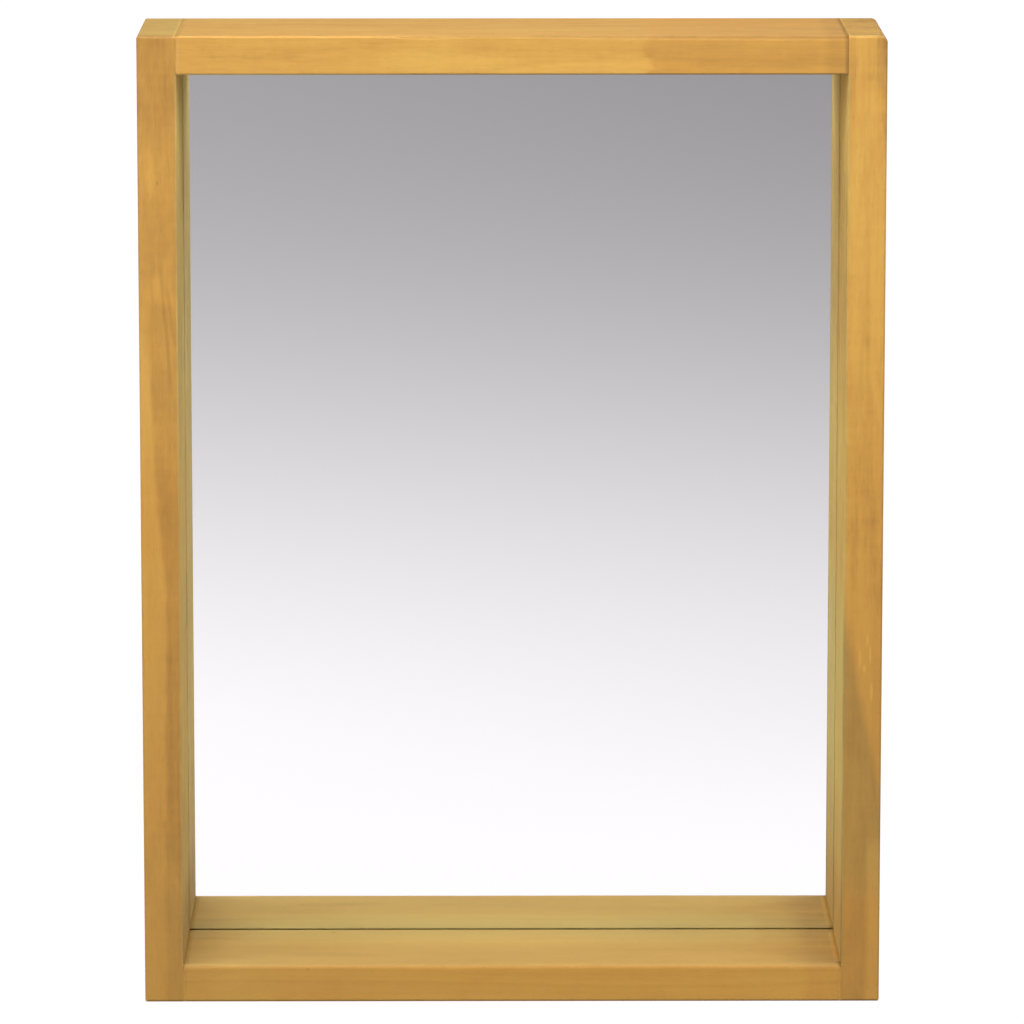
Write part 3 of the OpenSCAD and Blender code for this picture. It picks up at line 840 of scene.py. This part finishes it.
# Silver laid on the glass and sealed with paint: a clean mirror from the front, dull grey paint from behind
def painted_silver():
    look = bpy.context.scene.wall_mirror_glass
    material, node = new_material("painted_silver")
    low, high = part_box("mirror_silvering")
    depth = node("SeparateXYZ", {0: node("TexCoord", out="Object")}, out="Y")
    painted = node("Math", {0: depth, 1: (low.y + high.y) / 2}, operation="GREATER_THAN")
    colour = node("Mix", {0: painted, 6: look.silver, 7: look.paint}, out=2, data_type="RGBA")
    metal = node("Math", {0: 1.0, 1: painted}, operation="SUBTRACT")
    rough = node("Math", {0: painted, 1: PAINT_ROUGH}, operation="MULTIPLY")
    surface = node("BsdfPrincipled", {"Base Color": colour, "Roughness": rough, "Metallic": metal})
    node("OutputMaterial", {"Surface": surface})
    return material


class WALLMIRROR_OT_mirror(bpy.types.Operator):
    """Finish the glass and the silvering behind it"""

    bl_idname = "wall_mirror.mirror"
    bl_label = "Finish Mirror"

    def execute(self, context):
        dress("mirror_glass", float_glass())
        dress("mirror_silvering", painted_silver())
        return {"FINISHED"}


# Sizes of patterns: across, across and along the grain or the rolled strip
HILL_MM = (90.0, 90.0, 420.0)  # the hills that the figure of the veneer goes round
BIRCH_FIBRE_MM = (0.8, 0.8, 40.0)
BEECH_FLECK_MM = (0.7, 0.7, 4.0)
ROLLED_LINE_MM = (0.25, 0.25, 12.0)  # the lines of the rolled strip that plates are stamped from
FOAM_CELL_MM = (0.6, 0.6, 0.6)  # real cells are half as wide, and are drawn coarser so that they show

VENEER_MM = 26.0  # about how far apart the figure's lines lie across the back panel
PANEL_PLIES = 3
VENEER_TONE = -0.05  # tone of the plain veneer, from 0 for its early wood to 1 for its late wood
RIM_TONE, FIBRE_TONE, CORE_TONE = 0.35, 0.45, 0.4  # what hills' rims, fibres and the middle ply add to it
FLECK_RIM, FLECK_CORE, FLECK_SHARE = 0.34, 0.12, 0.7  # where a fleck starts and is full, and how dark it gets
ZINC_CLOUDS = 0.45  # clouds for each millimetre of plate
ZINC_ROUGH, CLOUD_ROUGH = 0.16, 0.3  # least roughness of the plate, and what a cloud adds


# Birch plywood, rotary cut, sanded and left raw: the knife ran round the log, so the face shows broad pale
# hills whose rims darken, and the middle ply shows its darker end grain on the panel's edges
def raw_plywood():
    look = bpy.context.scene.wall_mirror_back
    material, node = new_material("raw_plywood")
    place = in_millimetres(node)
    hills = counted(node, place, HILL_MM)
    height = node("TexNoise", {"Vector": hills, "Scale": 1.0, "Detail": 1.5, "Roughness": 0.45})
    # A hill rises by only about a quarter of the noise's range, so the height is counted four times
    count = node("Math", {0: height, 1: HILL_MM[0] / VENEER_MM * 4}, operation="MULTIPLY")
    step = node("Math", {0: count}, operation="FRACT")
    rim = node("ValToRGB", {"Fac": step}, ramp=[(0, BLACK), (0.8, WHITE), (1, BLACK)])
    fibres = counted(node, place, BIRCH_FIBRE_MM)
    fibre = node("TexNoise", {"Vector": fibres, "Scale": 1.0, "Detail": 3.0, "Roughness": 0.6})
    low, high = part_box("back_panel")
    depth = node("SeparateXYZ", {0: place}, out="Y")
    depth = node("Math", {0: depth, 1: (low.y + high.y) / 2 * MM}, operation="SUBTRACT")
    depth = node("Math", {0: depth}, operation="ABSOLUTE")
    half_ply = (high.y - low.y) * MM / PANEL_PLIES / 2
    core = node("Math", {0: depth, 1: half_ply}, operation="LESS_THAN")
    tone = VENEER_TONE
    for share, change in ((rim, RIM_TONE), (fibre, FIBRE_TONE), (core, CORE_TONE)):
        tone = node("Math", {0: share, 1: change, 2: tone}, operation="MULTIPLY_ADD")
    wood = node("ValToRGB", {"Fac": tone}, ramp=[(0.0, look.veneer), (1.0, look.veneer_late)])
    bump = node("Bump", {"Height": fibre, "Strength": 0.3, "Distance": GRAIN_DEPTH})
    surface = node("BsdfPrincipled", {"Base Color": wood, "Roughness": 0.75, "Normal": bump})
    node("OutputMaterial", {"Surface": surface})
    return material


# Closed-cell polyethylene foam tape, cut from a sheet: a dull skin of fine cells
def foam_tape():
    look = bpy.context.scene.wall_mirror_back
    material, node = new_material("foam_tape")
    cells = counted(node, in_millimetres(node), FOAM_CELL_MM)
    cell = node("TexVoronoi", {"Vector": cells, "Scale": 1.0}, out="Distance", feature="F1")
    shade = node("Mix", {0: cell, 6: look.foam, 7: look.foam_cell}, out=2, data_type="RGBA")
    bump = node("Bump", {"Height": cell, "Strength": 0.6, "Distance": CELL_DEPTH})
    surface = node("BsdfPrincipled", {"Base Color": shade, "Roughness": 0.9, "Normal": bump})
    node("OutputMaterial", {"Surface": surface})
    return material


class WALLMIRROR_OT_back(bpy.types.Operator):
    """Finish the back panel and the foam tape that bonds the glass to it"""

    bl_idname = "wall_mirror.back"
    bl_label = "Finish Back"

    def execute(self, context):
        dress("back_panel", raw_plywood())
        dress("mirror_tape", foam_tape())
        return {"FINISHED"}


# Beech, turned into dowels and left raw: pale pink-brown with short dark flecks along the grain
def turned_beech():
    look = bpy.context.scene.wall_mirror_back
    material, node = new_material("turned_beech")
    place = in_millimetres(node)
    along = node("Mapping", {"Vector": place, "Rotation": GRAIN_ACROSS})
    cells = counted(node, along, BEECH_FLECK_MM)
    cell = node("TexVoronoi", {"Vector": cells, "Scale": 1.0}, out="Distance", feature="F1")
    fleck = node("MapRange", {"Value": cell, 1: FLECK_RIM, 2: FLECK_CORE, 4: FLECK_SHARE}, **SMOOTH)
    wood = node("Mix", {0: fleck, 6: look.beech, 7: look.beech_fleck}, out=2, data_type="RGBA")
    surface = node("BsdfPrincipled", {"Base Color": wood, "Roughness": 0.7})
    node("OutputMaterial", {"Surface": surface})
    return material


class WALLMIRROR_OT_dowels(bpy.types.Operator):
    """Finish the dowels in the four corners"""

    bl_idname = "wall_mirror.dowels"
    bl_label = "Finish Dowels"

    def execute(self, context):
        beech = turned_beech()
        for corner in ("top_left", "top_right", "bottom_left", "bottom_right"):
            dress("dowels_" + corner, beech)
        return {"FINISHED"}


# Steel, stamped or headed and then bright zinc plated: a cool grey metal whose plate clouds in soft spots,
# with the fine lines of the rolled strip under it
def zinc_plated_steel():
    look = bpy.context.scene.wall_mirror_back
    material, node = new_material("zinc_plated_steel")
    place = in_millimetres(node)
    cloud = node("TexNoise", {"Vector": place, "Scale": ZINC_CLOUDS, "Detail": 2.0, "Roughness": 0.5})
    lines = counted(node, place, ROLLED_LINE_MM)
    line = node("TexNoise", {"Vector": lines, "Scale": 1.0, "Detail": 2.0, "Roughness": 0.6})
    rough = node("Math", {0: cloud, 1: CLOUD_ROUGH, 2: ZINC_ROUGH}, operation="MULTIPLY_ADD")
    bump = node("Bump", {"Height": line, "Strength": 0.25, "Distance": LINE_DEPTH})
    surface = node(
        "BsdfPrincipled", {"Base Color": look.zinc, "Metallic": 1.0, "Roughness": rough, "Normal": bump}
    )
    node("OutputMaterial", {"Surface": surface})
    return material


class WALLMIRROR_OT_hangers(bpy.types.Operator):
    """Finish the hanger plates, their screws and the screws of the beads"""

    bl_idname = "wall_mirror.hangers"
    bl_label = "Finish Hangers and Screws"

    def execute(self, context):
        steel = zinc_plated_steel()
        for piece in ("hanger_plate_left", "hanger_plate_right", "hanger_screws_left", "hanger_screws_right",
                      "bead_screws"):
            dress(piece, steel)
        return {"FINISHED"}


PAPER_LIGHT_HEIGHT = 3.35  # metres: how high the light that the paper's brightness follows would hang
PAPER_HALF = 60.0  # metres: half the side of the paper
PAPER_TINT = (1.0, 0.928, 0.961, 1.0)  # faintly violet, as the photograph's mirror image is
LEAN_START, LEAN_END = -0.2, -0.9  # metres along Y between which the lean of the brightness sets in
SENSOR_MM = 36.0
FAR_SIGHT = 200.0  # metres, past the far edge of the paper

# The softboxes, in metres: where each stands, what it points at, its width and height, and the setting of its
# power. The upper edge of the rear one stays below the top of the frame, so it reaches nothing that the
# photograph shows
SOFTBOXES = {
    "left_softbox": ((-2.2, -1.1, 1.05), (0.0, 0.0, 0.35), (1.0, 1.0), "side_power"),
    "right_softbox": ((2.2, -1.1, 1.05), (0.0, 0.0, 0.35), (1.0, 1.0), "side_power"),
    "front_softbox": ((0.0, -0.9, 1.7), (0.0, 0.0, 0.5), (1.4, 0.5), "front_power"),
    "back_softbox": ((0.0, 1.3, 2.3), (0.0, 0.0, 0.5), (1.4, 0.8), "back_power"),
    "rear_softbox": ((0.0, 2.2, 0.3), (0.0, 0.0, 0.33), (1.4, 0.5), "rear_power"),
}


# White studio paper: a glowing sheet, so that it stays white behind the object and dims in front of it as a
# floor does under one softbox that hangs above
def studio_paper():
    look = bpy.context.scene.wall_mirror_studio
    material, node = new_material("studio_paper")
    place = dict(zip("XYZ", node("SeparateXYZ", {0: node("TexCoord", out="Object")}).node.outputs))
    # Brightness = dim + (glow - dim) / (1 + (d / height)^2)^2, with d the distance in front of the object
    front = node("Math", {0: place["Y"], 1: 0.0}, operation="MINIMUM")
    share = node("Math", {0: front, 1: PAPER_LIGHT_HEIGHT}, operation="DIVIDE")
    square = node("Math", {0: share, 1: share, 2: 1.0}, operation="MULTIPLY_ADD")
    fourth = node("Math", {0: square, 1: 2.0}, operation="POWER")
    pool = node("Math", {0: look.glow - look.dim, 1: fourth}, operation="DIVIDE")
    level = node("Math", {0: pool, 1: look.dim}, operation="ADD")
    # In front it also leans: darker to the right, where the softbox is further off
    ahead = node("MapRange", {"Value": place["Y"], 1: LEAN_START, 2: LEAN_END, 4: -look.lean}, **SMOOTH)
    lean = node("Math", {0: ahead, 1: place["X"], 2: 1.0}, operation="MULTIPLY_ADD")
    level = node("Math", {0: level, 1: lean}, operation="MULTIPLY")
    surface = node("Emission", {"Color": PAPER_TINT, "Strength": level})
    node("OutputMaterial", {"Surface": surface})
    return material


def softbox(name, place, aim, size, power):
    """A rectangular area light that stands at place and points at aim."""
    light = bpy.data.lights.new(name, "AREA")
    light.shape = "RECTANGLE"
    light.size, light.size_y = size
    light.energy = power
    lamp = bpy.data.objects.new(name, light)
    lamp.visible_camera = False
    lamp.location = place
    lamp.rotation_euler = (Vector(aim) - Vector(place)).to_track_quat("-Z", "Y").to_euler()
    bpy.context.collection.objects.link(lamp)


class WALLMIRROR_OT_studio(bpy.types.Operator):
    """Build the pale floor, the soft lights and the camera"""

    bl_idname = "wall_mirror.studio"
    bl_label = "Build Studio"

    def execute(self, context):
        look = context.scene.wall_mirror_studio
        corners = np.array([(-1, -1, 0), (1, -1, 0), (1, 1, 0), (-1, 1, 0)], float) * PAPER_HALF
        mesh = bpy.data.meshes.new("studio_floor")
        mesh.from_pydata(corners.tolist(), [], [(0, 1, 2, 3)])
        mesh.materials.append(studio_paper())
        floor = bpy.data.objects.new("studio_floor", mesh)
        context.collection.objects.link(floor)
        # The paper lights nothing: its glow would reach the boards from below, unlike the photograph's floor
        floor.visible_diffuse = False

        for name, (place, aim, size, power) in SOFTBOXES.items():
            softbox(name, place, aim, size, getattr(look, power))

        world = bpy.data.worlds.new("studio")
        world.use_nodes = True
        world.node_tree.nodes.clear()
        node = functools.partial(add, world.node_tree)
        seen = node("LightPath", out="Is Camera Ray")
        level = node("Mix", {0: seen, 2: look.ambient, 3: look.backdrop}, data_type="FLOAT")
        node("OutputWorld", {"Surface": node("Background", {"Color": WHITE, "Strength": level})})
        context.scene.world = world

        eye = bpy.data.cameras.new("camera")
        eye.sensor_width = SENSOR_MM
        eye.lens = look.lens
        eye.clip_end = FAR_SIGHT
        camera = bpy.data.objects.new("camera", eye)
        camera.location = look.camera_place
        level_part = math.cos(look.pitch)
        right_part, deep_part = math.sin(look.yaw) * level_part, math.cos(look.yaw) * level_part
        ahead = Vector((right_part, deep_part, -math.sin(look.pitch)))
        camera.rotation_euler = ahead.to_track_quat("-Z", "Y").to_euler()
        context.collection.objects.link(camera)
        context.scene.camera = camera
        context.scene.view_settings.view_transform = "Standard"
        return {"FINISHED"}


class WALLMIRROR_PT_panel(bpy.types.Panel):
    """Lists the mirror's operators and settings"""

    bl_idname = "WALLMIRROR_PT_panel"
    bl_label = "Wall Mirror"
    bl_space_type = "VIEW_3D"
    bl_region_type = "UI"
    bl_category = "Wall Mirror"

    def draw(self, context):
        for operator in OPERATORS:
            self.layout.operator(operator.bl_idname)
        for name, group in SETTINGS.items():
            for setting in group.__annotations__:
                self.layout.prop(getattr(context.scene, name), setting)


SETTINGS = {
    "wall_mirror_teak": TeakSettings,
    "wall_mirror_arrises": ArrisSettings,
    "wall_mirror_glass": GlassSettings,
    "wall_mirror_back": BackSettings,
    "wall_mirror_studio": StudioSettings,
}
OPERATORS = (
    WALLMIRROR_OT_side_boards, WALLMIRROR_OT_rails, WALLMIRROR_OT_beads, WALLMIRROR_OT_mirror,
    WALLMIRROR_OT_back, WALLMIRROR_OT_dowels, WALLMIRROR_OT_hangers, WALLMIRROR_OT_studio,
)
CLASSES = (*SETTINGS.values(), *OPERATORS, WALLMIRROR_PT_panel)


def register():
    for cls in CLASSES:
        bpy.utils.register_class(cls)
    for name, group in SETTINGS.items():
        setattr(bpy.types.Scene, name, PointerProperty(type=group))


def unregister():
    for name in SETTINGS:
        delattr(bpy.types.Scene, name)
    for cls in reversed(CLASSES):
        bpy.utils.unregister_class(cls)


def main():
    """Registers the add-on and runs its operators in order."""
    register()
    bpy.ops.wall_mirror.side_boards()
    bpy.ops.wall_mirror.rails()
    bpy.ops.wall_mirror.beads()
    bpy.ops.wall_mirror.mirror()
    bpy.ops.wall_mirror.back()
    bpy.ops.wall_mirror.dowels()
    bpy.ops.wall_mirror.hangers()
    bpy.ops.wall_mirror.studio()


if __name__ == "__main__":
    main()
